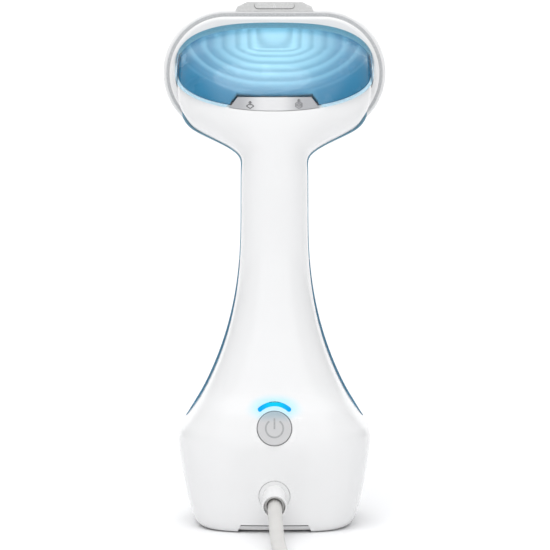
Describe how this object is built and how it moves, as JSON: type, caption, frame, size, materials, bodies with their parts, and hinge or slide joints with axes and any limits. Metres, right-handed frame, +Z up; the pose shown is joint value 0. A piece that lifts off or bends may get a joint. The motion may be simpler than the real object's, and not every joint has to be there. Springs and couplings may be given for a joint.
{
  "type": "handheld garment steamer",
  "caption": "Handheld garment steamer that stands on its base: white shell, blue water tank, stadium-shaped steam head, power button, trigger and coiled mains lead.",
  "frame": {"origin": "on the table, below the middle of the steamer's bounding box, measured without its free cord", "axes": "+Z up, +Y the way the steam leaves, -Y the user's side with the power button and the cord, X across"},
  "size_m": [0.1325, 0.3666, 0.2939],
  "materials": {
    "white_gloss": "glossy moulded white plastic",
    "blue_gloss": "glossy tinted blue plastic",
    "tank_blue": "clear blue polycarbonate",
    "window_blue": "clear pale blue cover",
    "cover_blue": "pale blue moulded steps",
    "grey_plastic": "fine satin grey plastic",
    "grey_gasket": "satin grey silicone",
    "silver_panel": "fine brushed silver",
    "plate_metal": "polished aluminium plate",
    "cast_alloy": "die-cast, dull",
    "steel": "bright steel",
    "light_cyan": "lit light guide",
    "board_green": "printed circuit board",
    "black_plastic": "black switch cases",
    "lamp_white": "surface lamps",
    "inner_plastic": "plain inner moulding",
    "trigger_white": "glossy white",
    "foot_rubber": "grey rubber",
    "pump_case": "cream nylon",
    "pump_winding": "wound copper under tape",
    "hose_clear": "translucent silicone",
    "wire_jacket": "sleeved wires",
    "cord_grey": "warm light grey cable jacket",
    "tie_fabric": "hook and loop strap",
    "blade_brass": "nickel-free brass blades"
  },
  "bodies": {
    "body": {"base_plate": "white_gloss", "base_screws": "steel", "chamber_cover": "cover_blue", "chamber_seal": "grey_gasket", "clean_dome": "steel", "clean_housing": "grey_plastic", "coil_tie": "tie_fabric", "cord_clamp": "inner_plastic", "cord_coil": "cord_grey", "cord_guard": "white_gloss", "cord_tail": "cord_grey", "element_clamps": "steel", "feet": "foot_rubber", "front_bezel": "white_gloss", "front_shell": "blue_gloss", "head_collar": "white_gloss", "head_gasket": "grey_gasket", "heating_element": "steel", "indicator_lamps": "lamp_white", "inlet_hose": "hose_clear", "level_switches": "black_plastic", "light_guide": "light_cyan", "main_board": "board_green", "outlet_hose": "hose_clear", "plug": "cord_grey", "plug_blades": "blade_brass", "power_cord": "cord_grey", "power_switch": "black_plastic", "pump": "pump_case", "pump_coil": "pump_winding", "pump_cradles": "foot_rubber", "rear_shell": "white_gloss", "rocker_bracket": "inner_plastic", "rocker_pin": "steel", "split_seal": "white_gloss", "steam_chamber": "cast_alloy", "steam_plate": "plate_metal", "tank_seat": "black_plastic", "thermal_fuse": "black_plastic", "thermostat": "steel", "trigger_pin": "steel", "trigger_spring": "steel", "trigger_switch": "black_plastic", "trigger_yoke": "inner_plastic", "window_cover": "window_blue", "wiring_loom": "wire_jacket"},
    "power_key": {"power_button": "grey_plastic"},
    "clean_key": {"clean_button": "grey_plastic"},
    "level_key": {"level_rocker": "silver_panel"},
    "trigger": {"steam_trigger": "trigger_white"},
    "tank": {"water_tank": "tank_blue", "cap_hinge_pin": "steel"},
    "cap": {"tank_cap": "grey_plastic", "tank_cap_seal": "grey_gasket"}
  },
  "joints": [
    {"name": "power_press", "type": "slide", "parent": "body", "child": "power_key", "axis": [0, 0.9763, -0.2164], "range_m": [0, 0.0008], "stiffness_N_per_m": 900},
    {"name": "clean_press", "type": "slide", "parent": "body", "child": "clean_key", "axis": [0, 0.7902, -0.6128], "range_m": [0, 0.0004], "stiffness_N_per_m": 700},
    {"name": "level_rock", "type": "hinge", "parent": "body", "child": "level_key", "pos_m": [0, -0.0095, 0.2345], "axis": [0, 0, 1], "range_deg": [-1.5, 1.5], "stiffness_Nm_per_rad": 0.4},
    {"name": "trigger_pull", "type": "hinge", "parent": "body", "child": "trigger", "pos_m": [0, 0.0126, 0.1962], "axis": [-1, 0, 0], "range_deg": [0, 5], "stiffness_Nm_per_rad": 1.2},
    {"name": "tank_pull", "type": "slide", "parent": "body", "child": "tank", "axis": [0, 1, 0], "range_m": [0, 0.06]},
    {"name": "cap_open", "type": "hinge", "parent": "tank", "child": "cap", "pos_m": [0, 0.0315, 0.1136], "axis": [-1, 0, 0], "range_deg": [0, 110]}
  ]
}
